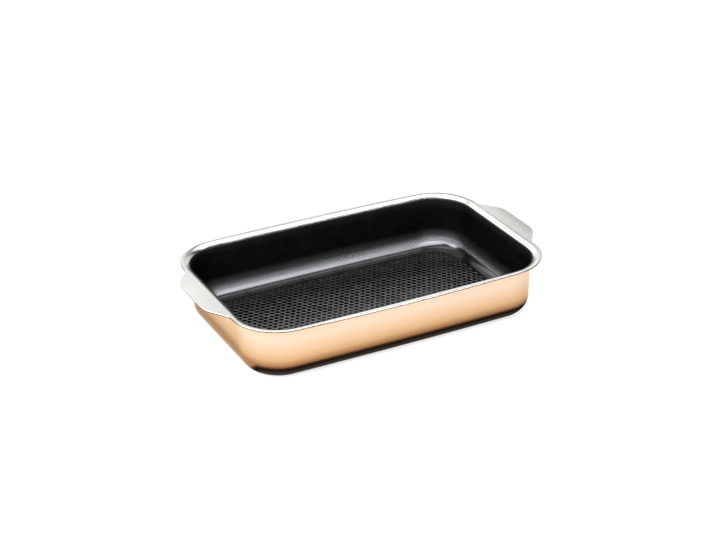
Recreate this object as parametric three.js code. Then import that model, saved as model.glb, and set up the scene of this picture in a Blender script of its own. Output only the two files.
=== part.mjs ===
// Roasting pan pressed from one clad sheet, in millimetres, +Z up.
// The origin is on the underside of the base, at its middle. +X runs along the pan, through both wings.
// Three bonded plies follow one another through the base, the walls, the turned lip, the rim and the wings:
// copper outside, an aluminium core and stainless steel inside. A non-stick film lines the steel.

import * as THREE from 'three';

// Body: the pressed box, measured on the outside of the copper at the foot of its walls
const bodyLength = 340;
const bodyWidth = 204; // at mid-length, across the bowed long sides
const sideBow = 1.2; // how far each long wall stands out at mid-length
const bodyCornerRadius = 42; // in plan
const baseRadius = 17; // between the base and the walls
const wallDraft = 0.5; // degrees that the walls lean outwards
const rimHeight = 65; // from the underside of the base to the rim's top face

// Sheet: the plies, from the outside in
const copperPly = 0.6;
const corePly = 0.5;
const steelPly = 0.5;
const bondLine = 0.05; // clearance between neighbouring layers
const coatingFilm = 0.12;

// Lip and rim
const lipRadius = 12.5; // inside radius of the turn from the wall to the rim
const coatingStop = 3; // drop from the rim's top face to the film's edge
const sideLand = 2.8; // flat of the rim past the lip, on the long sides at mid-length
const endLand = 0.5; // the same on the short ends, beside the wings
const leastLand = 0.4; // the rim is nowhere narrower than this past the lip
const rimBow = 4.2; // how far the cut edge of each long side stands out at mid-length
const rimCornerRadius = 55;

// Wings: the two carrying handles, which leave the rim level and sweep up a little
const wingProjection = 18.5; // past the rim's short end
const wingRise = 1.2; // of the outer edge above the rim
const wingEdgeWidth = 63; // along the outer edge
const wingRootWidth = 114; // where the wing runs into the rim
const wingCornerRadius = 25;
const wingRootRadius = 10;

// Facets along each round stretch
const cornerSteps = 7;
const sideSteps = 3; // on half of a long side
const wingCornerSteps = 4;
const wingRootSteps = 3;
const baseSteps = 4;
const coatedLipSteps = 3;
const bareLipSteps = 2;
const landSteps = 2; // from the lip to the cut edge

// Levels through the sheet, measured inwards from the outside of the copper
const copperInside = copperPly;
const coreOutside = copperInside + bondLine;
const coreInside = coreOutside + corePly;
const steelOutside = coreInside + bondLine;
const steelInside = steelOutside + steelPly;
const filmOutside = steelInside + bondLine;
const filmInside = filmOutside + coatingFilm;

const span = (from, to, steps) =>
  Array.from({ length: steps + 1 }, (_, i) => from + ((to - from) * i) / steps);

// Section of the sheet. Offsets run outwards from the wall's foot, and all levels share the two arc centres.
const draft = THREE.MathUtils.degToRad(wallDraft);
const lipUnderRadius = lipRadius - steelInside;
const baseCentre = new THREE.Vector2(-baseRadius, baseRadius);
const lipCentre = (() => {
  const height = rimHeight - lipRadius;
  const climb = (height - baseCentre.y + (baseRadius + lipUnderRadius) * Math.sin(draft)) / Math.cos(draft);
  const reach = (baseRadius + lipUnderRadius) * Math.cos(draft) + climb * Math.sin(draft);
  return new THREE.Vector2(baseCentre.x + reach, height);
})();
const wallTangent = Math.PI - draft;
const rimTangent = Math.PI / 2;
const coatingTangent = Math.PI - Math.asin(1 - coatingStop / lipRadius);

const baseArc = (level) =>
  span(-Math.PI / 2, -draft, baseSteps).map((angle) => ({
    offset: baseCentre.x + (baseRadius - level) * Math.cos(angle),
    z: baseCentre.y + (baseRadius - level) * Math.sin(angle),
  }));

const lipArc = (level, from, to, steps) =>
  span(from, to, steps).map((angle) => ({
    offset: lipCentre.x + (lipUnderRadius + level) * Math.cos(angle),
    z: lipCentre.y + (lipUnderRadius + level) * Math.sin(angle),
  }));

const coatedRings = (level) => [
  ...baseArc(level),
  ...lipArc(level, wallTangent, coatingTangent, coatedLipSteps),
];

const sheetRings = (level) => [
  ...coatedRings(level),
  ...lipArc(level, coatingTangent, rimTangent, bareLipSteps).slice(1),
  ...span(0, 1, landSteps).slice(1).map((share) => ({ share, z: lipCentre.y + lipUnderRadius + level })),
];

// Plan: a rectangle with round corners, whose long sides bow outwards as arcs tangent to the corners
function bowedRectangle(halfLength, halfWidth, cornerRadius, bow) {
  const cornerX = halfLength - cornerRadius;
  const sideRadius = cornerRadius + (cornerX * cornerX + bow * bow) / (2 * bow);
  const sideCentreY = halfWidth - sideRadius;
  const cornerY = halfWidth - cornerRadius - bow;
  return {
    halfLength,
    cornerRadius,
    corner: new THREE.Vector2(cornerX, cornerY),
    sideRadius,
    side: new THREE.Vector2(0, sideCentreY),
    tangent: Math.atan2(cornerY - sideCentreY, cornerX),
  };
}

const onArc = (centre, radius, angle) =>
  new THREE.Vector2(centre.x + radius * Math.cos(angle), centre.y + radius * Math.sin(angle));

// Arc that rounds the corner between two straight edges
function roundedCorner(before, corner, after, radius, steps) {
  const inward = before.clone().sub(corner).normalize();
  const outward = after.clone().sub(corner).normalize();
  const half = Math.acos(THREE.MathUtils.clamp(inward.dot(outward), -1, 1)) / 2;
  const middle = inward.clone().add(outward).normalize();
  const centre = corner.clone().addScaledVector(middle, radius / Math.sin(half));
  const start = corner.clone().addScaledVector(inward, radius / Math.tan(half)).sub(centre);
  const end = corner.clone().addScaledVector(outward, radius / Math.tan(half)).sub(centre);
  const turn = Math.atan2(start.cross(end), start.dot(end));
  return span(0, turn, steps).map((angle) => start.clone().rotateAround(new THREE.Vector2(), angle).add(centre));
}

const wall = bowedRectangle(bodyLength / 2, bodyWidth / 2, bodyCornerRadius, sideBow);

// One quarter of the sheet's cut edge, from the middle of the +X wing to the middle of the +Y side
function quarterEdge() {
  const halfLength = bodyLength / 2 + lipCentre.x + endLand;
  const halfWidth = bodyWidth / 2 + lipCentre.x + sideLand;
  const wingReach = halfLength + wingProjection;
  const wingMiddle = new THREE.Vector2(wingReach, 0);
  const wingCorner = new THREE.Vector2(wingReach, wingEdgeWidth / 2);
  const wingRoot = new THREE.Vector2(halfLength, wingRootWidth / 2);
  const rootTurn = Math.atan2(wingProjection, wingRoot.y - wingCorner.y);
  const rootTangent = wingRootRadius * Math.tan(rootTurn / 2);
  const roomForCorner = halfWidth - rimBow - wingRoot.y - rootTangent;
  const cornerRadius = Math.min(rimCornerRadius, roomForCorner);
  const rim = bowedRectangle(halfLength, halfWidth, cornerRadius, rimBow);
  const rimEnd = new THREE.Vector2(halfLength, halfWidth);
  return [
    wingMiddle,
    ...roundedCorner(wingMiddle, wingCorner, wingRoot, wingCornerRadius, wingCornerSteps),
    ...roundedCorner(wingCorner, wingRoot, rimEnd, wingRootRadius, wingRootSteps),
    ...span(0, rim.tangent, cornerSteps).slice(1).map((angle) => onArc(rim.corner, rim.cornerRadius, angle)),
    ...span(rim.tangent, Math.PI / 2, sideSteps).slice(1).map((angle) => onArc(rim.side, rim.sideRadius, angle)),
  ];
}

// Where the sheet that ends at this point of the cut edge comes down the wall: its foot, and the way outwards
function stationAt(edge) {
  const fromCorner = edge.clone().sub(wall.corner);
  const onWing = fromCorner.y <= 0;
  const station = { foot: new THREE.Vector2(wall.halfLength, edge.y), outward: new THREE.Vector2(1, 0), onWing };
  if (!onWing) {
    const onCorner = fromCorner.angle() < wall.tangent;
    const centre = onCorner ? wall.corner : wall.side;
    const radius = onCorner ? wall.cornerRadius : wall.sideRadius;
    station.outward = edge.clone().sub(centre).normalize();
    station.foot = centre.clone().addScaledVector(station.outward, radius);
  }
  const reach = edge.clone().sub(station.foot).dot(station.outward);
  station.edgeOffset = Math.max(reach, lipCentre.x + leastLand);
  return station;
}

const mirrored = (station, sx, sy) => ({
  ...station,
  foot: new THREE.Vector2(station.foot.x * sx, station.foot.y * sy),
  outward: new THREE.Vector2(station.outward.x * sx, station.outward.y * sy),
});

// Stations once round the pan, anticlockwise seen from above, from the middle of the +X wing
const stations = (() => {
  const quarter = quarterEdge().map(stationAt);
  const back = quarter.slice(1, -1).reverse();
  return [
    ...quarter,
    ...back.map((station) => mirrored(station, -1, 1)),
    ...quarter.map((station) => mirrored(station, -1, -1)).slice(0, -1),
    ...[...quarter.slice(1)].reverse().map((station) => mirrored(station, 1, -1)),
  ];
})();

// How far the sheet has swept up at this distance outside the foot of the wall
function riseAt(station, offset) {
  const past = Math.max(offset - lipCentre.x - endLand, 0);
  return station.onWing ? wingRise * (past / wingProjection) ** 2 : 0;
}

// Closed shell between an outside and an inside run of rings, closed over the middle of the base at both levels
// Both runs are split along the same diagonals, so that neighbouring layers stay parallel.
function shellGeometry(outsideRings, insideRings) {
  const rings = [...outsideRings, ...[...insideRings].reverse()];
  const count = stations.length;
  const positions = [0, 0, rings[0].z];
  for (const ring of rings) {
    for (const station of stations) {
      const { foot, outward, edgeOffset } = station;
      const offset = ring.share ? THREE.MathUtils.lerp(lipCentre.x, edgeOffset, ring.share) : ring.offset;
      const z = ring.z + riseAt(station, offset);
      positions.push(foot.x + outward.x * offset, foot.y + outward.y * offset, z);
    }
  }
  positions.push(0, 0, rings.at(-1).z);

  const first = 0;
  const last = 1 + rings.length * count;
  const vertex = (ring, station) => 1 + ring * count + (station % count);
  const triangles = [];
  for (let s = 0; s < count; s++) {
    triangles.push(first, vertex(0, s + 1), vertex(0, s));
    for (let r = 0; r + 1 < rings.length; r++) {
      const [a, b, c, d] = [vertex(r, s), vertex(r, s + 1), vertex(r + 1, s + 1), vertex(r + 1, s)];
      const onOutside = r < outsideRings.length;
      triangles.push(...(onOutside ? [a, b, c, a, c, d] : [a, b, d, b, c, d]));
    }
    triangles.push(last, vertex(rings.length - 1, s), vertex(rings.length - 1, s + 1));
  }

  const geometry = new THREE.BufferGeometry();
  geometry.setAttribute('position', new THREE.Float32BufferAttribute(positions, 3));
  geometry.setIndex(triangles);
  geometry.computeVertexNormals();
  return geometry;
}

function piece(name, geometry, finish) {
  const mesh = new THREE.Mesh(geometry, new THREE.MeshStandardMaterial(finish));
  mesh.name = name;
  return mesh;
}

const pan = new THREE.Group();
pan.name = 'roasting_pan';
pan.add(
  piece('copper_outer_shell', shellGeometry(sheetRings(0), sheetRings(copperInside)), {
    color: 0xe0a878,
    roughness: 0.28,
    metalness: 1,
  }),
  piece('aluminium_core', shellGeometry(sheetRings(coreOutside), sheetRings(coreInside)), {
    color: 0xb9bcbf,
    roughness: 0.45,
    metalness: 1,
  }),
  piece('steel_inner_shell', shellGeometry(sheetRings(steelOutside), sheetRings(steelInside)), {
    color: 0xe2e1dc,
    roughness: 0.22,
    metalness: 1,
  }),
  piece('nonstick_coating', shellGeometry(coatedRings(filmOutside), coatedRings(filmInside)), {
    color: 0x16151a,
    roughness: 0.4,
    metalness: 0,
  }),
);

export default pan;
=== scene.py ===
"""Roasting pan pressed from clad sheet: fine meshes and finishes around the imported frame.

Lengths are metres. +X runs along the pan through both wings, +Y across it and +Z up out of its mouth.
The origin is on the underside of the base, at its middle.
"""

import logging
import math
from dataclasses import dataclass, field
from enum import Enum

import bpy
import numpy as np
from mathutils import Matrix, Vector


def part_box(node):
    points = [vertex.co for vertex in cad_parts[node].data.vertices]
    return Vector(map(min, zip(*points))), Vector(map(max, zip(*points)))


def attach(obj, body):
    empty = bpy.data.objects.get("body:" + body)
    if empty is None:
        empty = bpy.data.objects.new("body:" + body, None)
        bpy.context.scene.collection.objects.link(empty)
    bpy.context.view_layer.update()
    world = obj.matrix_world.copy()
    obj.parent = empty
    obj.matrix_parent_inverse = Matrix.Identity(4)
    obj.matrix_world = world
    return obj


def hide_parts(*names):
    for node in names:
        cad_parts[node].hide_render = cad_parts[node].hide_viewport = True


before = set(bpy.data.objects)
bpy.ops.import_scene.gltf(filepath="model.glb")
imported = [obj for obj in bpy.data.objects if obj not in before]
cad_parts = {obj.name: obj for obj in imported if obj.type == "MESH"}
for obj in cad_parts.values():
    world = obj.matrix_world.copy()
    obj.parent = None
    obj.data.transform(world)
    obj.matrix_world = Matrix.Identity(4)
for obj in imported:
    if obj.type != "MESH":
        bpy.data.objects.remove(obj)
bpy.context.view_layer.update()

log = logging.getLogger("roasting_pan")

NOISE_RANGE = (0.3, 0.7)

Colour = tuple[float, float, float]
Place = tuple[float, float, float]
Stretch = tuple[float, float, float]
Span = tuple[float, float]
Stops = tuple[tuple[float, Colour], ...]
Levels = tuple[tuple[float, float], ...]
Faces = list[tuple[int, ...]]


class Layer(Enum):
    """Layer of the clad sheet, from the outside in. The value is the CAD node that it replaces."""

    COPPER = "copper_outer_shell"
    CORE = "aluminium_core"
    STEEL = "steel_inner_shell"
    FILM = "nonstick_coating"


class Slot(Enum):
    """Material slot of the record."""

    COPPER = "copper"
    CORE = "core"
    STEEL = "steel"
    COATING = "coating"


class Axis(Enum):
    """Axis of the pan."""

    LENGTH = "X"
    WIDTH = "Y"
    HEIGHT = "Z"


class Join(Enum):
    """Way in which two values become one."""

    TIMES = "MULTIPLY"
    PLUS = "ADD"
    LOWER = "MINIMUM"
    HIGHER = "MAXIMUM"


@dataclass(frozen=True)
class SheetGauge:
    """Thickness of each layer, and the bond line between neighbours."""

    copper: float = 0.0006
    core: float = 0.0005
    steel: float = 0.0005
    film: float = 0.00012
    bond: float = 0.00005

    def depths(self, layer: Layer) -> tuple[float, float]:
        """Give where a layer lies, measured inwards from the outside of the copper.

        Args:
            layer: The layer asked for.

        Returns:
            The depth of its outside face, and of its inside face.
        """
        thickness = dict(zip(Layer, (self.copper, self.core, self.steel, self.film)))
        outside = 0.0
        for each in Layer:
            if each is layer:
                break
            outside += thickness[each] + self.bond
        return outside, outside + thickness[layer]


@dataclass(frozen=True)
class Ring:
    """One loop round the sheet.

    Attributes:
        out: Distance outside the foot of the wall.
        z: Height above the underside of the base.
        share: Share of the way from there to the sheet's cut edge.
        back: Distance that the loop is then set back.
    """

    out: float
    z: float
    share: float = 0.0
    back: float = 0.0


@dataclass(frozen=True)
class BowedOutline:
    """Plan with round corners, whose long sides bow outwards as arcs tangent to the corners."""

    half_length: float
    half_width: float
    corner_radius: float
    bow: float

    @property
    def corner(self) -> np.ndarray:
        """Centre of the corner arc in the first quarter."""
        return np.array((
            self.half_length - self.corner_radius,
            self.half_width - self.corner_radius - self.bow,
        ))

    @property
    def side_radius(self) -> float:
        """Radius of the bowed long side."""
        run = self.half_length - self.corner_radius
        return self.corner_radius + (run * run + self.bow * self.bow) / (2.0 * self.bow)

    @property
    def side_centre(self) -> np.ndarray:
        """Centre of the bowed long side at +Y."""
        return np.array((0.0, self.half_width - self.side_radius))

    @property
    def tangent(self) -> float:
        """Angle at which the corner arc runs into the long side."""
        way = self.corner - self.side_centre
        return math.atan2(way[1], way[0])

    def place(self, points: np.ndarray) -> tuple[np.ndarray, np.ndarray]:
        """Set plan points against the outline.

        Args:
            points: Plan points, one in each row.

        Returns:
            The outward normal at each point, and how far the point is out past the outline.
        """
        sign = np.where(points < 0.0, -1.0, 1.0)
        near = np.abs(points)
        outward = np.tile((1.0, 0.0), (len(near), 1))
        past = near[:, 0] - self.half_length
        from_corner = near - self.corner
        turned = from_corner[:, 1] > 0.0
        on_corner = turned & (np.arctan2(from_corner[:, 1], from_corner[:, 0]) < self.tangent)
        on_side = turned & ~on_corner
        arcs = (
            (on_corner, self.corner, self.corner_radius),
            (on_side, self.side_centre, self.side_radius),
        )
        for chosen, centre, radius in arcs:
            spoke = near[chosen] - centre
            reach = np.linalg.norm(spoke, axis=1)
            outward[chosen] = spoke / reach[:, None]
            past[chosen] = reach - radius
        return outward * sign, past


def rounded_corner(before: np.ndarray, corner: np.ndarray, after: np.ndarray,
                   radius: float, steps: int) -> np.ndarray:
    """Round the corner between two straight edges.

    Args:
        before: A point on the edge that comes in.
        corner: The sharp corner.
        after: A point on the edge that goes out.
        radius: Radius of the round.
        steps: Steps along it.

    Returns:
        Points along the arc, one in each row.
    """
    back = (before - corner) / np.linalg.norm(before - corner)
    ahead = (after - corner) / np.linalg.norm(after - corner)
    half = math.acos(float(np.clip(back @ ahead, -1.0, 1.0))) / 2.0
    middle = (back + ahead) / np.linalg.norm(back + ahead)
    centre = corner + middle * radius / math.sin(half)
    start = corner + back * radius / math.tan(half) - centre
    end = corner + ahead * radius / math.tan(half) - centre
    turn = math.atan2(start[0] * end[1] - start[1] * end[0], float(start @ end))
    angles = np.linspace(0.0, turn, steps + 1)
    x = start[0] * np.cos(angles) - start[1] * np.sin(angles)
    y = start[0] * np.sin(angles) + start[1] * np.cos(angles)
    return centre + np.stack((x, y), axis=1)


def arc_points(centre: np.ndarray, radius: float, start: float, end: float,
               steps: int) -> np.ndarray:
    """Give points along an arc.

    Args:
        centre: Centre of the arc.
        radius: Its radius.
        start: Angle at its start.
        end: Angle at its end.
        steps: Steps along it.

    Returns:
        Points along the arc, one in each row.
    """
    angles = np.linspace(start, end, steps + 1)
    return centre + radius * np.stack((np.cos(angles), np.sin(angles)), axis=1)


def mesh_piece(name: str, points: np.ndarray, faces: Faces, crease: float) -> bpy.types.Object:
    """Make a smooth mesh object whose sharp turns stay crisp.

    Args:
        name: Name of the piece.
        points: Its points, one in each row.
        faces: Its faces, as indices of points.
        crease: Angle in degrees above which an edge is sharp.

    Returns:
        The new object, linked into the scene.
    """
    mesh = bpy.data.meshes.new(name)
    mesh.from_pydata(points.tolist(), [], faces)
    mesh.polygons.foreach_set("use_smooth", [True] * len(mesh.polygons))
    mesh.set_sharp_from_angle(angle=math.radians(crease))
    mesh.update()
    piece = bpy.data.objects.new(name, mesh)
    bpy.context.scene.collection.objects.link(piece)
    return piece


@dataclass(frozen=True)
class PressedForm:
    """The pressed shape that every layer of the sheet follows: its plan, section and cut edge.

    The rim's width, and the reach and the top of the wings, come from the frame.

    Attributes:
        film_drop: Height of the rim's top over the film's edge.
        end_land: Width of the flat rim at the short ends, beside the wings.
        least_land: Least width of the flat rim anywhere.
        guard: Distance of an extra ring from a round, which keeps the shading beside it even.
        land_shares: Places of the rings on the flat rim, as shares of its width.
    """

    rim_half_width: float
    wing_reach: float
    wing_top: float
    rim_height: float = 0.065
    body_length: float = 0.340
    body_width: float = 0.204
    side_bow: float = 0.0012
    body_corner_radius: float = 0.042
    base_radius: float = 0.017
    wall_draft: float = math.radians(0.5)
    lip_radius: float = 0.0125
    film_drop: float = 0.003
    end_land: float = 0.0005
    least_land: float = 0.0004
    rim_bow: float = 0.0042
    rim_corner_radius: float = 0.051
    wing_edge_width: float = 0.063
    wing_root_width: float = 0.114
    wing_corner_radius: float = 0.025
    wing_root_radius: float = 0.010
    guard: float = 0.0015
    base_steps: int = 18
    coated_lip_steps: int = 12
    bare_lip_steps: int = 8
    corner_steps: int = 26
    side_steps: int = 16
    wing_corner_steps: int = 12
    wing_root_steps: int = 8
    land_shares: tuple[float, ...] = (0.1, 0.25, 0.4, 0.55, 0.7, 0.85, 0.95)
    gauge: SheetGauge = field(default_factory=SheetGauge)

    @classmethod
    def from_frame(cls) -> "PressedForm":
        """Read the outer sizes off the CAD sheet."""
        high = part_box(Layer.STEEL.value)[1]
        return cls(rim_half_width=high.y, wing_reach=high.x, wing_top=high.z)

    @property
    def outline(self) -> BowedOutline:
        """Plan of the wall's foot, on the outside of the copper."""
        return BowedOutline(
            self.body_length / 2.0, self.body_width / 2.0, self.body_corner_radius, self.side_bow,
        )

    @property
    def floor_depth(self) -> float:
        """Depth of the film's inside face, which is the surface that food lies on."""
        return self.gauge.depths(Layer.FILM)[1]

    @property
    def lip_under_radius(self) -> float:
        """Radius of the lip on the outside of the copper."""
        return self.lip_radius - self.gauge.depths(Layer.STEEL)[1]

    @property
    def climb(self) -> float:
        """Length of the straight wall, from the round of the base to the lip."""
        rise = self.rim_height - self.lip_radius - self.base_radius
        rounds = self.base_radius + self.lip_under_radius
        return (rise + rounds * math.sin(self.wall_draft)) / math.cos(self.wall_draft)

    @property
    def lip_centre(self) -> np.ndarray:
        """Centre of the lip's turn, as distance outside the wall's foot and height."""
        rounds = self.base_radius + self.lip_under_radius
        reach = rounds * math.cos(self.wall_draft) + self.climb * math.sin(self.wall_draft)
        return np.array((reach - self.base_radius, self.rim_height - self.lip_radius))

    @property
    def rim_end(self) -> float:
        """Distance of the rim's short ends from the middle of the pan."""
        return self.body_length / 2.0 + self.lip_centre[0] + self.end_land

    @property
    def film_end(self) -> float:
        """Angle round the lip at which the film stops."""
        return math.pi - math.asin(1.0 - self.film_drop / self.lip_radius)

    def lip_arc(self, depth: float, start: float, end: float, steps: int) -> list[Ring]:
        """Give the rings of the turn over the lip at one depth, between two angles."""
        points = arc_points(self.lip_centre, self.lip_under_radius + depth, start, end, steps)
        return [Ring(out, z) for out, z in points.tolist()]

    def coated_rings(self, depth: float) -> list[Ring]:
        """Follow the sheet from its flat floor up to the film's edge.

        Args:
            depth: Depth in the sheet.

        Returns:
            The rings, from the floor outwards.
        """
        centre = np.array((-self.base_radius, self.base_radius))
        radius = self.base_radius - depth
        base = arc_points(centre, radius, -math.pi / 2.0, -self.wall_draft, self.base_steps)
        lip = self.lip_arc(depth, math.pi - self.wall_draft, self.film_end, self.coated_lip_steps)
        lean = np.array((math.sin(self.wall_draft), math.cos(self.wall_draft)))
        foot = base[-1] + lean * self.guard
        head = np.array((lip[0].out, lip[0].z)) - lean * self.guard
        return [
            Ring(-self.base_radius - self.guard, depth),
            *(Ring(out, z) for out, z in base.tolist()),
            Ring(*foot.tolist()),
            Ring(*head.tolist()),
            *lip,
        ]

    def sheet_rings(self, depth: float) -> list[Ring]:
        """Follow the sheet from its flat floor over the lip to the start of the flat rim.

        Args:
            depth: Depth in the sheet.

        Returns:
            The rings, from the floor outwards.
        """
        bare = self.lip_arc(depth, self.film_end, math.pi / 2.0, self.bare_lip_steps)
        land = [Ring(bare[-1].out, bare[-1].z, share) for share in self.land_shares]
        return [*self.coated_rings(depth), *bare[1:], *land]

    def cut_edge(self) -> np.ndarray:
        """Draw the sheet's cut edge in plan.

        Returns:
            Points once round the pan, anticlockwise from the middle of the +X wing.
        """
        middle = np.array((self.wing_reach, 0.0))
        corner = np.array((self.wing_reach, self.wing_edge_width / 2.0))
        root = np.array((self.rim_end, self.wing_root_width / 2.0))
        end = np.array((self.rim_end, self.rim_half_width))
        rim = BowedOutline(self.rim_end, self.rim_half_width, self.rim_corner_radius, self.rim_bow)
        middle_turn = math.pi / 2.0
        side = (rim.side_centre, rim.side_radius, rim.tangent, middle_turn)
        quarter = np.concatenate((
            middle[None],
            rounded_corner(middle, corner, root, self.wing_corner_radius, self.wing_corner_steps),
            rounded_corner(corner, root, end, self.wing_root_radius, self.wing_root_steps),
            arc_points(rim.corner, rim.corner_radius, 0.0, rim.tangent, self.corner_steps)[1:],
            arc_points(*side, self.side_steps)[1:],
        ))
        return np.concatenate((
            quarter,
            quarter[-2:0:-1] * (-1.0, 1.0),
            quarter[:-1] * (-1.0, -1.0),
            quarter[:0:-1] * (1.0, -1.0),
        ))

    def wing_rise(self, plan: np.ndarray) -> np.ndarray:
        """Give how far the wings have swept up at plan points.

        Args:
            plan: Plan points, one in each row.

        Returns:
            The rise at each point.
        """
        past = np.clip(np.abs(plan[:, 0]) - self.rim_end, 0.0, None)
        rise = (self.wing_top - self.rim_height) * (past / (self.wing_reach - self.rim_end)) ** 2
        return np.where(np.abs(plan[:, 1]) <= self.outline.corner[1], rise, 0.0)

    def loft(self, rings: list[Ring]) -> np.ndarray:
        """Lay rings round the pan.

        Args:
            rings: The rings, in order.

        Returns:
            Points, as an array of ring, station and coordinate.
        """
        edge = self.cut_edge()
        outward, past = self.outline.place(edge)
        foot = edge - outward * past[:, None]
        reach = np.maximum(past, self.lip_centre[0] + self.least_land)
        points = np.empty((len(rings), len(edge), 3))
        for row, ring in zip(points, rings):
            offset = ring.out + (reach - ring.out) * ring.share - ring.back
            row[:, :2] = foot + outward * offset[:, None]
            row[:, 2] = ring.z + self.wing_rise(row[:, :2])
        return points

    def lay_on_lining(self, plan: np.ndarray, lift: np.ndarray) -> np.ndarray:
        """Lay a flat pattern on the lining's floor and into the round of the base.

        Past the flat floor, a pattern point's distance is spent along the round, as on drawn sheet.

        Args:
            plan: Points of the flat pattern, one in each row.
            lift: Height of each point above the film.

        Returns:
            Points on the lining, one in each row.
        """
        floor = BowedOutline(
            self.outline.half_length - self.base_radius,
            self.outline.half_width - self.base_radius,
            self.body_corner_radius - self.base_radius,
            self.side_bow,
        )
        outward, past = floor.place(plan)
        radius = self.base_radius - self.floor_depth
        turn = np.maximum(past, 0.0) / radius
        out = np.minimum(past, 0.0) + (radius - lift) * np.sin(turn)
        z = self.base_radius - (radius - lift) * np.cos(turn)
        places = plan + outward * (out - past)[:, None]
        return np.column_stack((places, z))


def ramp_colour(tree: bpy.types.NodeTree, value: bpy.types.NodeSocket,
                stops: Stops) -> bpy.types.NodeSocket:
    """Pick a colour along a value.

    Args:
        tree: The node board to work on.
        value: The value that picks the colour.
        stops: Positions and colours, in order.

    Returns:
        The socket of the colour.
    """
    ramp = tree.nodes.new("ShaderNodeValToRGB")
    elements = ramp.color_ramp.elements
    while len(elements) < len(stops):
        elements.new(1.0)
    for element, (position, colour) in zip(elements, stops):
        element.position = position
        element.color = (*colour, 1.0)
    tree.links.new(value, ramp.inputs["Fac"])
    return ramp.outputs["Color"]


def join_values(tree: bpy.types.NodeTree, first: bpy.types.NodeSocket,
                second: bpy.types.NodeSocket, way: Join) -> bpy.types.NodeSocket:
    """Make one value of two.

    Args:
        tree: The node board to work on.
        first: The first value.
        second: The second value.
        way: How they are joined.

    Returns:
        The socket of the result.
    """
    joint = tree.nodes.new("ShaderNodeMath")
    joint.operation = way.value
    tree.links.new(first, joint.inputs[0])
    tree.links.new(second, joint.inputs[1])
    return joint.outputs["Value"]


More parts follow.
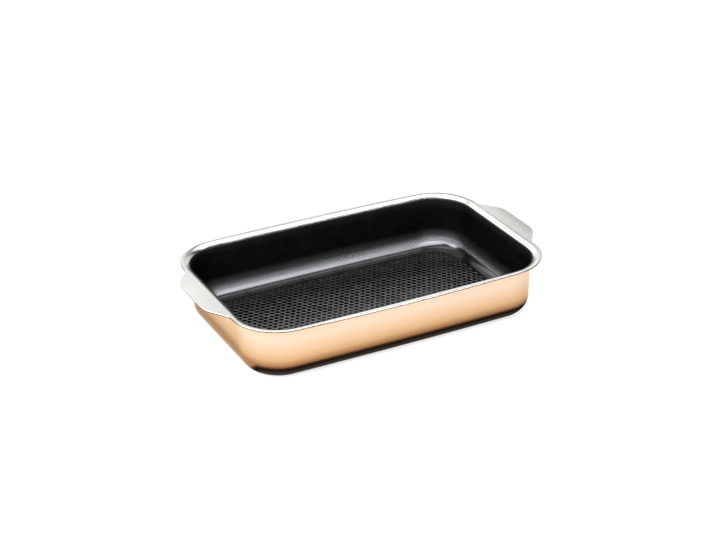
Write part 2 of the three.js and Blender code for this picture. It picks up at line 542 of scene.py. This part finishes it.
class FinishBoard:
    """Node board of one finish, around the material's own shader."""

    def __init__(self, name: str) -> None:
        """Start a finish.

        Args:
            name: Name of the material.
        """
        self.material = bpy.data.materials.new(name)
        self.material.use_nodes = True
        self.tree = self.material.node_tree
        self.shader = next(node for node in self.tree.nodes if node.type == "BSDF_PRINCIPLED")
        self.where = self.tree.nodes.new("ShaderNodeTexCoord")

    def set(self, **values: float | tuple[float, ...]) -> None:
        """Set the shader's own sockets, named with underscores for blanks."""
        for name, value in values.items():
            self.shader.inputs[name.replace("_", " ")].default_value = value

    def grain(self, stretch: Stretch, octaves: float, keep: float = 0.55) -> bpy.types.NodeSocket:
        """Add noise with its own spacing along each axis.

        Args:
            stretch: Cells in each metre, along X, Y and Z.
            octaves: Count of finer layers of noise.
            keep: Strength of each finer layer, as a share of the one before.

        Returns:
            The socket of the noise's value.
        """
        spread = self.tree.nodes.new("ShaderNodeMapping")
        spread.inputs["Scale"].default_value = stretch
        noise = self.tree.nodes.new("ShaderNodeTexNoise")
        noise.inputs["Scale"].default_value = 1.0
        noise.inputs["Detail"].default_value = octaves
        noise.inputs["Roughness"].default_value = keep
        self.tree.links.new(self.where.outputs["Object"], spread.inputs["Vector"])
        self.tree.links.new(spread.outputs["Vector"], noise.inputs["Vector"])
        return noise.outputs["Fac"]

    def spread(self, value: bpy.types.NodeSocket, low: float, high: float,
               start: float = 0.0, end: float = 1.0) -> bpy.types.NodeSocket:
        """Spread a stretch of a value over another stretch.

        Args:
            value: The value.
            low: Value at which the stretch starts.
            high: Value at which it ends.
            start: The result up to its start.
            end: The result from its end on.

        Returns:
            The socket of the result.
        """
        spread = self.tree.nodes.new("ShaderNodeMapRange")
        levels = {"From Min": low, "From Max": high, "To Min": start, "To Max": end}
        for name, level in levels.items():
            spread.inputs[name].default_value = level
        self.tree.links.new(value, spread.inputs["Value"])
        return spread.outputs["Result"]

    def along(self, axis: Axis) -> bpy.types.NodeSocket:
        """Give the place along one axis of the pan.

        Args:
            axis: The axis.

        Returns:
            The socket of the place.
        """
        part = self.tree.nodes.new("ShaderNodeSeparateXYZ")
        self.tree.links.new(self.where.outputs["Object"], part.inputs["Vector"])
        return part.outputs[axis.value]

    def height(self, low: float, high: float,
               start: float = 0.0, end: float = 1.0) -> bpy.types.NodeSocket:
        """Spread a stretch of the height, from low to high, over another stretch."""
        return self.spread(self.along(Axis.HEIGHT), low, high, start, end)

    def across(self) -> bpy.types.NodeSocket:
        """Give the distance from the pan's middle line, on either side of it.

        Returns:
            The socket of the distance.
        """
        distance = self.tree.nodes.new("ShaderNodeMath")
        distance.operation = "ABSOLUTE"
        self.tree.links.new(self.along(Axis.WIDTH), distance.inputs[0])
        return distance.outputs["Value"]

    def cells(self, pitch: float, scatter: float) -> bpy.types.NodeSocket:
        """Add a field of small dimples on the piece's chart, in staggered rows.

        Args:
            pitch: Distance between neighbours.
            scatter: How far they stray from a regular grid.

        Returns:
            The socket of the distance from the nearest dimple's middle.
        """
        spread = self.tree.nodes.new("ShaderNodeMapping")
        spread.inputs["Scale"].default_value = (1.0 / pitch,) * 3
        spread.inputs["Rotation"].default_value = (0.0, 0.0, math.pi / 4.0)
        dimples = self.tree.nodes.new("ShaderNodeTexVoronoi")
        dimples.voronoi_dimensions = "2D"
        dimples.inputs["Scale"].default_value = 1.0
        dimples.inputs["Randomness"].default_value = scatter
        self.tree.links.new(self.where.outputs["UV"], spread.inputs["Vector"])
        self.tree.links.new(spread.outputs["Vector"], dimples.inputs["Vector"])
        return dimples.outputs["Distance"]

    def blend(self, first: bpy.types.NodeSocket, second: bpy.types.NodeSocket,
              way: Join = Join.TIMES) -> bpy.types.NodeSocket:
        """Make one value of two, on this board."""
        return join_values(self.tree, first, second, way)

    def tint(self, value: bpy.types.NodeSocket, stops: Stops) -> None:
        """Colour the shader along a value, by positions and colours in order."""
        self.feed("Base Color", ramp_colour(self.tree, value, stops))

    def dull(self, noise: bpy.types.NodeSocket, low: float, high: float) -> None:
        """Vary the shader's roughness along a noise, from low to high."""
        self.feed("Roughness", self.spread(noise, *NOISE_RANGE, low, high))

    def feed(self, socket: str, value: bpy.types.NodeSocket) -> None:
        """Lead a value to the shader's socket of this name."""
        self.tree.links.new(value, self.shader.inputs[socket])

    def emboss(self, value: bpy.types.NodeSocket, strength: float, height: float) -> None:
        """Raise the surface along a value.

        Args:
            value: The value that gives the relief.
            strength: Share of the relief that shows.
            height: Height of the full relief.
        """
        bump = self.tree.nodes.new("ShaderNodeBump")
        bump.inputs["Strength"].default_value = strength
        bump.inputs["Distance"].default_value = height
        self.tree.links.new(value, bump.inputs["Height"])
        self.tree.links.new(bump.outputs["Normal"], self.shader.inputs["Normal"])


@dataclass(frozen=True)
class PolishedCopper:
    """Polished copper with faint level brush lines, and painted shade that darkens it towards the
    foot, to black at the foot of the long sides.
    """

    name: str = "polished_copper"
    # Painted shade: the colours below pale darken the copper from the rim down to the foot.
    foot_shade_grey: Colour = (0.16, 0.15, 0.14)
    foot_shade_dark: Colour = (0.038, 0.031, 0.027)
    black: Colour = (0.003, 0.0015, 0.0008)
    foot_shade_brown: Colour = (0.03, 0.013, 0.005)
    brown: Colour = (0.31, 0.152, 0.065)
    deep: Colour = (0.55, 0.335, 0.17)
    warm: Colour = (0.65, 0.44, 0.275)
    pale: Colour = (0.70, 0.535, 0.40)
    stages: tuple[float, ...] = (0.0, 0.12, 0.25, 0.30, 0.36, 0.48, 0.65, 0.92)
    full_height: float = 0.05
    # Painted shade: where the black foot lies along the long sides, how it tapers at the corners, and
    # the level that keeps it off the short ends.
    long_side: Span = (0.054, 0.086)
    taper_height: float = 0.018
    taper_run: float = 0.026
    shade_free_level: float = 0.355
    # Painted shade: the copper of the short ends is a shade deeper.
    end_shade_side: Span = (0.046, 0.062)
    end_shade: float = 0.80
    # The copper turns dark brown at its top, along the rim's cut edge.
    cut_start: Span = (0.0630, 0.0634)
    cut_darkening: float = 0.6
    # The copper turns metallic above the painted shade of the foot.
    metal_start: Span = (0.255, 0.36)
    graze: Colour = (0.95, 0.87, 0.76)
    lines: Stretch = (24.0, 24.0, 2600.0)
    octaves: float = 2.0
    gloss: Span = (0.14, 0.24)
    relief: float = 0.000012
    relief_share: float = 0.25

    def build(self) -> bpy.types.Material:
        """Make the finish.

        Returns:
            The material.
        """
        board = FinishBoard(self.name)
        lines = board.grain(self.lines, self.octaves)
        # Painted shade: deeper on the short ends.
        depth = board.spread(board.across(), *self.end_shade_side, self.end_shade, 1.0)
        # Painted shade: the colour darkens from the rim down to the foot.
        height = board.blend(board.height(0.0, self.full_height), depth)
        # Painted shade: black at the foot of the long sides, tapering towards the corners and kept
        # off the short ends.
        taper = board.height(0.0, self.taper_height, 0.0, -self.taper_run)
        side = board.blend(board.across(), taper, Join.PLUS)
        shade_free_level = board.spread(side, *self.long_side, self.shade_free_level, 0.0)
        # Darker brown at the top of the copper, along the cut edge.
        cut = board.height(*self.cut_start, 0.0, -self.cut_darkening)
        place = board.blend(board.blend(height, shade_free_level, Join.HIGHER), cut, Join.PLUS)
        colours = (
            self.foot_shade_grey, self.foot_shade_dark, self.black, self.foot_shade_brown, self.brown, self.deep, self.warm, self.pale,
        )
        board.tint(place, tuple(zip(self.stages, colours)))
        # The painted shade of the foot is not metallic.
        board.feed("Metallic", board.spread(place, *self.metal_start))
        board.dull(lines, *self.gloss)
        board.emboss(lines, self.relief_share, self.relief)
        board.set(Specular_IOR_Level=0.0, Specular_Tint=(*self.graze, 1.0))
        return board.material


@dataclass(frozen=True)
class BrightSteel:
    """Bright stainless steel with a fine grain drawn along the pan, and a painted highlight on the
    front rim.
    """

    name: str = "bright_steel"
    shade: Colour = (0.73, 0.725, 0.695)
    bright: Colour = (0.84, 0.835, 0.81)
    # Painted highlight: the brightest colour, on the front rim.
    front_highlight: Colour = (0.98, 0.975, 0.95)
    stages: tuple[float, ...] = (0.3, 0.65, 0.9)
    front_highlight_stop: Span = (-0.105, -0.095)
    front_highlight_share: float = 0.35
    clouds: Stretch = (14.0, 14.0, 14.0)
    lines: Stretch = (45.0, 1900.0, 1900.0)
    octaves: float = 2.0
    gloss: Span = (0.12, 0.22)
    relief: float = 0.00001
    relief_share: float = 0.2

    def build(self) -> bpy.types.Material:
        """Make the finish.

        Returns:
            The material.
        """
        board = FinishBoard(self.name)
        clouds = board.grain(self.clouds, self.octaves)
        lines = board.grain(self.lines, self.octaves)
        # Painted highlight on the front rim.
        highlight = board.spread(board.along(Axis.WIDTH), *self.front_highlight_stop, self.front_highlight_share, 0.0)
        shine = board.blend(board.blend(clouds, lines, Join.HIGHER), highlight, Join.PLUS)
        board.tint(shine, tuple(zip(self.stages, (self.shade, self.bright, self.front_highlight))))
        board.dull(lines, *self.gloss)
        board.emboss(lines, self.relief_share, self.relief)
        board.set(Metallic=1.0)
        return board.material


@dataclass(frozen=True)
class ShearedAluminium:
    """Aluminium as the shears leave it, with upright drag marks, in dark brown tones."""

    name: str = "sheared_aluminium"
    dark: Colour = (0.04, 0.022, 0.012)
    light: Colour = (0.10, 0.06, 0.034)
    marks: Stretch = (1400.0, 1400.0, 120.0)
    octaves: float = 4.0
    gloss: Span = (0.34, 0.55)
    relief: float = 0.00003
    relief_share: float = 0.5

    def build(self) -> bpy.types.Material:
        """Make the finish.

        Returns:
            The material.
        """
        board = FinishBoard(self.name)
        marks = board.grain(self.marks, self.octaves)
        board.tint(marks, tuple(zip(NOISE_RANGE, (self.dark, self.light))))
        board.dull(marks, *self.gloss)
        board.emboss(marks, self.relief_share, self.relief)
        board.set(Metallic=1.0)
        return board.material


@dataclass(frozen=True)
class SatinFilm:
    """Black non-stick film: satin on the floor, sleek on the round of the base and dull above it.

    The round and the walls are dimpled, and a painted grey sheen lightens the foot of the long sides.
    """

    name: str = "satin_film"
    black: Colour = (0.0006, 0.0006, 0.0007)
    bloom: Colour = (0.0016, 0.0016, 0.0017)
    # Painted sheen: the lightest grey, at the foot of the walls.
    sheen_grey: Colour = (0.018, 0.018, 0.019)
    stages: tuple[float, ...] = (0.3, 0.7, 1.0)
    sheen_side: Span = (0.010, 0.070)
    sheen_end: Span = (0.0035, 0.0085)
    sheen_share: float = 0.5
    clouds: Stretch = (55.0, 55.0, 55.0)
    octaves: float = 3.0
    floor_stop: Span = (0.00188, 0.0021)
    round_start: Span = (0.0021, 0.0085)
    wall_start: Span = (0.014, 0.026)
    floor_index: float = 1.2
    foot_index: float = 1.35
    round_index: float = 2.1
    wall_index: float = 1.12
    edge_start: Span = (0.0604, 0.0620)
    edge_index: float = 1.6
    floor_gloss: float = 0.15
    round_gloss: float = 0.16
    dimple_pitch: float = 0.0027
    scatter: float = 0.1
    dimple_reach: float = 0.5
    dimple_swing: Span = (-0.5, 0.5)
    dimple_start: Span = (0.0075, 0.0105)
    relief: float = 0.0015
    relief_share: float = 0.5
    cool: Colour = (0.94, 0.96, 1.0)

    def build(self) -> bpy.types.Material:
        """Make the finish.

        Returns:
            The material.
        """
        board = FinishBoard(self.name)
        clouds = board.grain(self.clouds, self.octaves)
        cells = board.cells(self.dimple_pitch, self.scatter)
        floor_index = board.height(*self.floor_stop, self.floor_index, self.round_index)
        round_index = board.height(*self.round_start, self.foot_index, self.round_index)
        wall_index = board.height(*self.wall_start, self.round_index, self.wall_index)
        edge_index = board.height(*self.edge_start, self.wall_index, self.edge_index)
        low_index = board.blend(floor_index, round_index, Join.LOWER)
        index = board.blend(low_index, wall_index, Join.LOWER)
        # Painted sheen: a grey band low on the round of the base, strongest along the long sides.
        foot = board.blend(board.height(*self.floor_stop), board.height(*self.sheen_end, 1.0, 0.0))
        side = board.spread(board.across(), *self.sheen_side, 0.0, self.sheen_share)
        shade = board.blend(clouds, board.blend(foot, side), Join.PLUS)
        board.tint(shade, tuple(zip(self.stages, (self.black, self.bloom, self.sheen_grey))))
        board.feed("IOR", board.blend(index, edge_index, Join.HIGHER))
        board.feed("Roughness", board.height(*self.round_start, self.floor_gloss, self.round_gloss))
        bowls = board.spread(board.blend(cells, cells), 0.0, self.dimple_reach, *self.dimple_swing)
        dimples = board.blend(bowls, board.height(*self.dimple_start))
        board.emboss(dimples, self.relief_share, self.relief)
        board.set(Metallic=0.0, Specular_Tint=(*self.cool, 1.0))
        return board.material


@dataclass(frozen=True)
class WornRidge:
    """Steel ridges that stand through the film, worn bright in patches, with painted shade that
    darkens them towards the back and the right.
    """

    name: str = "worn_ridge"
    filmed: Colour = (0.01, 0.01, 0.0105)
    mid_grey: Colour = (0.175, 0.175, 0.179)
    worn: Colour = (0.275, 0.275, 0.281)
    stages: tuple[float, ...] = (0.0, 0.36, 0.62)
    patches: Stretch = (160.0, 160.0, 160.0)
    octaves: float = 4.0
    # Painted shade: the ridges darken towards the back, and a little towards the right.
    lean_run: Span = (-0.15, 0.15)
    lean_shift: Span = (-0.018, 0.018)
    back_shade_stop: Span = (0.028, 0.062)
    back_shade_share: float = 0.45
    gloss: Span = (0.28, 0.38)
    relief: float = 0.00002
    relief_share: float = 0.2

    def build(self) -> bpy.types.Material:
        """Make the finish.

        Returns:
            The material.
        """
        board = FinishBoard(self.name)
        patches = board.grain(self.patches, self.octaves)
        # Painted shade: darker towards the back and the right, over the worn patches.
        lean = board.spread(board.along(Axis.LENGTH), *self.lean_run, *self.lean_shift)
        place = board.blend(board.along(Axis.WIDTH), lean, Join.PLUS)
        wear_and_shade = board.blend(patches, board.spread(place, *self.back_shade_stop, 1.0, self.back_shade_share))
        board.tint(wear_and_shade, tuple(zip(self.stages, (self.filmed, self.mid_grey, self.worn))))
        board.dull(patches, *self.gloss)
        board.emboss(patches, self.relief_share, self.relief)
        board.set(Metallic=1.0)
        return board.material


@dataclass
class CladSheet:
    """The pan itself: copper, core, steel and film, one inside the other."""

    form: PressedForm
    edge_round: float = 0.00045
    edge_steps: int = 4
    crease: float = 40.0

    def rounded_edge(self, start: Ring, up: float) -> list[Ring]:
        """Round a layer's free edge at the cut.

        Args:
            start: A ring on the flat rim at the layer's free face.
            up: 1 where the edge turns up from that face, -1 where it turns down.

        Returns:
            Rings from the flat rim to the upright cut.
        """
        angles = np.linspace(0.0, math.pi / 2.0, self.edge_steps + 1)
        rise = self.edge_round * (1.0 - np.cos(angles)) * up
        back = self.edge_round * (1.0 - np.sin(angles))
        steps = zip(rise.tolist(), back.tolist())
        return [Ring(start.out, start.z + climb, 1.0, inset) for climb, inset in steps]

    def layer_rings(self, layer: Layer) -> tuple[list[Ring], list[Ring]]:
        """Give a layer's section.

        Args:
            layer: The layer asked for.

        Returns:
            The rings of its outside face and of its inside face, from the floor outwards.
        """
        outside, inside = self.form.gauge.depths(layer)
        if layer is Layer.FILM:
            return self.form.coated_rings(outside), self.form.coated_rings(inside)
        under = self.form.sheet_rings(outside)
        over = self.form.sheet_rings(inside)
        under_edge = [Ring(under[-1].out, under[-1].z, 1.0)]
        over_edge = [Ring(over[-1].out, over[-1].z, 1.0)]
        if layer is Layer.COPPER:
            under_edge = self.rounded_edge(under[-1], 1.0)
        if layer is Layer.STEEL:
            over_edge = self.rounded_edge(over[-1], -1.0)
        return [*under, *under_edge], [*over, *over_edge]

    def build_layer(self, layer: Layer, name: str) -> bpy.types.Object:
        """Build one layer as a closed shell.

        Args:
            layer: The layer to build.
            name: Name of the piece.

        Returns:
            The piece.
        """
        under, over = self.layer_rings(layer)
        points = self.form.loft([*under, *reversed(over)])
        rings, stations = points.shape[:2]
        grid = np.arange(rings * stations).reshape(rings, stations)
        ahead = np.roll(grid, -1, axis=1)
        quads = np.stack((grid[:-1], ahead[:-1], ahead[1:], grid[1:]), axis=-1).reshape(-1, 4)
        faces: Faces = [tuple(quad) for quad in quads.tolist()]
        faces.append(tuple(grid[0, ::-1].tolist()))
        faces.append(tuple(grid[-1].tolist()))
        piece = mesh_piece(name, points.reshape(-1, 3), faces, self.crease)
        self.chart(piece.data, points)
        return piece

    def chart(self, mesh: bpy.types.Mesh, points: np.ndarray) -> None:
        """Chart a layer's faces by distance round the wall and distance along the section.

        Args:
            mesh: The layer's mesh, with its two flat faces last.
            points: Its points, as an array of ring, station and coordinate.
        """
        rings, stations = points.shape[:2]
        wall = points[rings // 4]  # a quarter of the way round the section is up the outside face
        round_steps = np.linalg.norm(np.roll(wall, -1, axis=0) - wall, axis=1)
        round_way = np.concatenate(((0.0,), np.cumsum(round_steps)))
        section_steps = np.linalg.norm(np.diff(points[:, 0], axis=0), axis=1)
        section_way = np.concatenate(((0.0,), np.cumsum(section_steps)))[:, None]
        corners = (
            round_way[:-1], section_way[:-1], round_way[1:], section_way[:-1],
            round_way[1:], section_way[1:], round_way[:-1], section_way[1:],
        )
        shape = (rings - 1, stations)
        sides = np.stack([np.broadcast_to(corner, shape) for corner in corners], axis=-1)
        flats = np.zeros((2, stations, 2))
        places = np.concatenate((sides.ravel(), flats.ravel())).astype(np.float32)
        mesh.uv_layers.new(name="sheet_chart").data.foreach_set("uv", places)

    def build(self) -> list[bpy.types.Object]:
        """Build and dress every layer.

        Returns:
            The pieces, from the outside in.
        """
        plan = (
            (Layer.COPPER, "copper_shell", PolishedCopper().build(), Slot.COPPER),
            (Layer.CORE, "core_sheet", ShearedAluminium().build(), Slot.CORE),
            (Layer.STEEL, "steel_sheet", BrightSteel().build(), Slot.STEEL),
            (Layer.FILM, "black_film", SatinFilm().build(), Slot.COATING),
        )
        pieces = []
        for layer, name, finish, slot in plan:
            piece = self.build_layer(layer, name)
            piece.data.materials.append(finish)
            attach(piece, "root")
            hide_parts(layer.value)
            pieces.append(piece)
        return pieces


@dataclass
class HoneycombRidges:
    """Fine steel honeycomb that stands through the film, over the flat of the floor."""

    form: PressedForm
    pitch: float = 0.0066
    top_width: float = 0.0011
    foot_width: float = 0.0018
    height: float = 0.00014
    sink: float = 0.0001
    overrun: float = 0.001
    weld_digits: int = 6
    crease: float = 70.0

    def centres(self) -> np.ndarray:
        """Find the cells of the flat pattern that lie on the floor.

        Returns:
            Centres of the cells, one in each row.
        """
        row_gap = self.pitch * math.sqrt(3.0) / 2.0
        reach = self.overrun - self.form.base_radius
        stop = BowedOutline(
            self.form.outline.half_length + reach,
            self.form.outline.half_width + reach,
            self.form.body_corner_radius + reach,
            self.form.side_bow,
        )
        rows = math.ceil(stop.half_width / row_gap)
        columns = math.ceil(stop.half_length / self.pitch) + 1
        centres = [
            ((column + 0.5 * (row % 2)) * self.pitch, row * row_gap)
            for row in range(-rows, rows + 1)
            for column in range(-columns, columns + 1)
        ]
        plan = np.array(centres)
        full_row = np.abs(plan[:, 1]) <= stop.half_width - stop.bow
        return plan[full_row & (stop.place(plan)[1] <= 0.0)]

    def hexagons(self, centres: np.ndarray, inset: float) -> np.ndarray:
        """Draw each cell's hexagon.

        Args:
            centres: Centres of the cells.
            inset: Distance of its sides inside the middle of the ridges.

        Returns:
            Corners, as an array of cell, corner and coordinate.
        """
        radius = (self.pitch / 2.0 - inset) * 2.0 / math.sqrt(3.0)
        angles = math.pi / 6.0 + np.arange(6) * math.pi / 3.0
        corners = radius * np.stack((np.cos(angles), np.sin(angles)), axis=1)
        return centres[:, None, :] + corners[None]

    @staticmethod
    def strip(outer: np.ndarray, inner: np.ndarray) -> np.ndarray:
        """Join the outer and inner corners of each cell by faces that look up from the floor."""
        faces = (outer, np.roll(outer, -1, axis=1), np.roll(inner, -1, axis=1), inner)
        return np.stack(faces, axis=-1).reshape(-1, 4)

    @staticmethod
    def free_sides(index: np.ndarray) -> np.ndarray:
        """Find the sides of cells that no second cell shares.

        Args:
            index: Indices of each cell's corners.

        Returns:
            Both ends of each free side, one side in each row.
        """
        sides = np.stack((index, np.roll(index, -1, axis=1)), axis=-1).reshape(-1, 2)
        sorted_sides = np.sort(sides, axis=1)
        _, first, uses = np.unique(sorted_sides, axis=0, return_index=True, return_counts=True)
        return sides[first[uses == 1]]

    def build(self) -> bpy.types.Object:
        """Build and dress the ridges as one closed net.

        Returns:
            The piece.
        """
        centres = self.centres()
        middles = self.hexagons(centres, 0.0).reshape(-1, 2)
        welded = np.round(middles, self.weld_digits)
        shared, index = np.unique(welded, axis=0, return_inverse=True)
        index = index.reshape(len(centres), -1)
        own = np.arange(index.size).reshape(index.shape)
        tops = self.hexagons(centres, self.top_width / 2.0).reshape(-1, 2)
        feet = self.hexagons(centres, self.foot_width / 2.0).reshape(-1, 2)
        plan = np.concatenate((shared, shared, tops, feet))
        lift = np.concatenate((
            np.full(len(shared), self.height),
            np.full(len(shared), -self.sink),
            np.full(len(tops), self.height),
            np.full(len(feet), -self.sink),
        ))
        crown = index
        root = index + len(shared)
        top = own + 2 * len(shared)
        foot = top + len(tops)
        rim = self.free_sides(index)
        skirt = np.column_stack((rim[:, 0], rim + len(shared), rim[:, 1]))
        quads = np.concatenate((
            self.strip(crown, top),
            self.strip(top, foot),
            self.strip(root, foot)[:, ::-1],
            skirt,
        ))
        faces: Faces = [tuple(quad) for quad in quads.tolist()]
        points = self.form.lay_on_lining(plan, lift)
        piece = mesh_piece("honeycomb_ridges", points, faces, self.crease)
        piece.data.materials.append(WornRidge().build())
        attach(piece, "root")
        return piece


@dataclass(frozen=True)
class Softbox:
    """Panel of soft light, hung over the pan.

    Attributes:
        name: Name of the lamp.
        middle: Place of its middle.
        size: Its size along X and Y when it is level.
        turn: Angles in degrees by which it is turned from level, about X and Y.
        glow: Brightness of the panel's face.
    """

    name: str
    middle: Place
    size: tuple[float, float]
    turn: tuple[float, float]
    glow: float

    def hang(self) -> None:
        """Hang the panel."""
        lamp = bpy.data.lights.new(self.name, "AREA")
        lamp.shape = "RECTANGLE"
        lamp.size, lamp.size_y = self.size
        lamp.energy = math.pi * lamp.size * lamp.size_y * self.glow
        stand = bpy.data.objects.new(self.name, lamp)
        stand.location = self.middle
        stand.rotation_euler = (*map(math.radians, self.turn), 0.0)
        bpy.context.scene.collection.objects.link(stand)


@dataclass
class Studio:
    """Pale floor, soft lights and the camera of the portrait.

    The room's levels run along each axis by place, from 0 at one end of the room to 1 at the other.
    """

    floor_radius: float = 14.0
    floor_steps: int = 64
    floor_drop: float = 0.0002
    floor_crease: float = 30.0
    floor_pale: Colour = (0.31, 0.31, 0.309)
    floor_shade: Colour = (0.30, 0.30, 0.299)
    floor_clouds: Stretch = (1.5, 1.5, 1.5)
    floor_octaves: float = 2.0
    floor_roughness: float = 0.9
    floor_light: Colour = (1.0, 1.0, 1.0)
    floor_glow: float = 0.58
    softboxes: tuple[Softbox, ...] = (
        Softbox("front_softbox", (-1.75, -6.475, 4.0), (8.5, 10.25), (0.0, 0.0), 6.4),
        Softbox("low_softbox", (6.3, -9.6, 2.0), (6.0, 2.4), (90.0, 0.0), 8.0),
        Softbox("back_softbox", (0.8, 1.5, 4.0), (4.8, 3.8), (0.0, 0.0), 1.6),
        Softbox("left_softbox", (-4.0, 5.9, 4.0), (4.8, 4.2), (0.0, 0.0), 1.3),
        Softbox("middle_softbox", (0.25, 5.9, 4.0), (3.7, 4.2), (0.0, 0.0), 1.0),
        Softbox("corner_softbox", (-3.4, 2.1, 4.0), (3.4, 3.2), (0.0, 0.0), 1.2),
        Softbox("fill_softbox", (-2.2, -0.2, 0.9), (1.6, 3.0), (0.0, -75.0), 4.0),
        Softbox("side_softbox", (-3.5, 0.3, 2.7), (2.0, 3.4), (0.0, -53.0), 6.0),
    )
    room_levels: tuple[tuple[Axis, Levels], ...] = (
        (Axis.LENGTH, ((0.2, 0.5), (0.45, 1.0), (0.725, 1.0), (0.76, 0.82))),
        (Axis.WIDTH, ((0.5, 0.1), (0.65, 0.8), (0.8, 1.0))),
        (Axis.HEIGHT, (
            (0.55, 0.1), (0.62, 1.05), (0.722, 1.05), (0.772, 0.55), (0.80, 0.15), (0.9, 0.2),
        )),
    )
    room_strength: float = 1.0
    camera_place: Place = (-0.7587, -1.4156, 0.8730)
    camera_azimuth: float = -28.046
    camera_elevation: float = 27.178
    camera_lens: float = 83.73
    camera_sensor: float = 36.0

    def lay_floor(self) -> None:
        """Lay the floor, which glows a little as a light table does."""
        ring = arc_points(np.zeros(2), self.floor_radius, 0.0, math.tau, self.floor_steps)[:-1]
        points = np.column_stack((ring, np.full(len(ring), -self.floor_drop)))
        faces: Faces = [tuple(range(len(ring)))]
        floor = mesh_piece("studio_floor", points, faces, self.floor_crease)
        board = FinishBoard("pale_floor")
        clouds = board.grain(self.floor_clouds, self.floor_octaves)
        board.tint(clouds, tuple(zip(NOISE_RANGE, (self.floor_shade, self.floor_pale))))
        board.set(
            Roughness=self.floor_roughness,
            Emission_Color=(*self.floor_light, 1.0),
            Emission_Strength=self.floor_glow,
        )
        floor.data.materials.append(board.material)

    def light_room(self) -> None:
        """Give the room a pale wall behind the pan and a dark side behind the camera."""
        world = bpy.data.worlds.new("studio_room")
        world.use_nodes = True
        bpy.context.scene.world = world
        tree = world.node_tree
        back = next(node for node in tree.nodes if node.type == "BACKGROUND")
        where = tree.nodes.new("ShaderNodeTexCoord")
        part = tree.nodes.new("ShaderNodeSeparateXYZ")
        tree.links.new(where.outputs["Generated"], part.inputs["Vector"])
        greys = []
        for axis, levels in self.room_levels:
            spread = tree.nodes.new("ShaderNodeMapRange")
            spread.inputs["From Min"].default_value = -1.0
            tree.links.new(part.outputs[axis.value], spread.inputs["Value"])
            stops = tuple((place, (level,) * 3) for place, level in levels)
            greys.append(ramp_colour(tree, spread.outputs["Result"], stops))
        product = greys[0]
        for grey in greys[1:]:
            product = join_values(tree, product, grey, Join.TIMES)
        tree.links.new(product, back.inputs["Color"])
        back.inputs["Strength"].default_value = self.room_strength

    def set_camera(self) -> None:
        """Stand the camera where the photograph was taken from."""
        lens = bpy.data.cameras.new("portrait_camera")
        lens.sensor_fit = "HORIZONTAL"
        lens.sensor_width = self.camera_sensor
        lens.lens = self.camera_lens
        camera = bpy.data.objects.new("portrait_camera", lens)
        camera.location = self.camera_place
        tilt = math.radians(90.0 - self.camera_elevation)
        camera.rotation_euler = (tilt, 0.0, math.radians(self.camera_azimuth))
        bpy.context.scene.collection.objects.link(camera)
        bpy.context.scene.camera = camera

    def build(self) -> None:
        """Set the whole studio up."""
        self.lay_floor()
        for softbox in self.softboxes:
            softbox.hang()
        self.light_room()
        self.set_camera()
        bpy.context.scene.view_settings.view_transform = "Standard"
        bpy.context.scene.view_settings.look = "None"


def report(piece: bpy.types.Object) -> None:
    """Log a piece and the count of its faces.

    Args:
        piece: The piece.
    """
    log.info("%s: %d faces", piece.name, len(piece.data.polygons))


def main() -> None:
    """Build the studio and the pan, and report each piece."""
    logging.basicConfig(level=logging.INFO, format="%(name)s: %(message)s")
    Studio().build()
    form = PressedForm.from_frame()
    for piece in CladSheet(form).build():
        report(piece)
    report(HoneycombRidges(form).build())


if __name__ == "__main__":
    main()
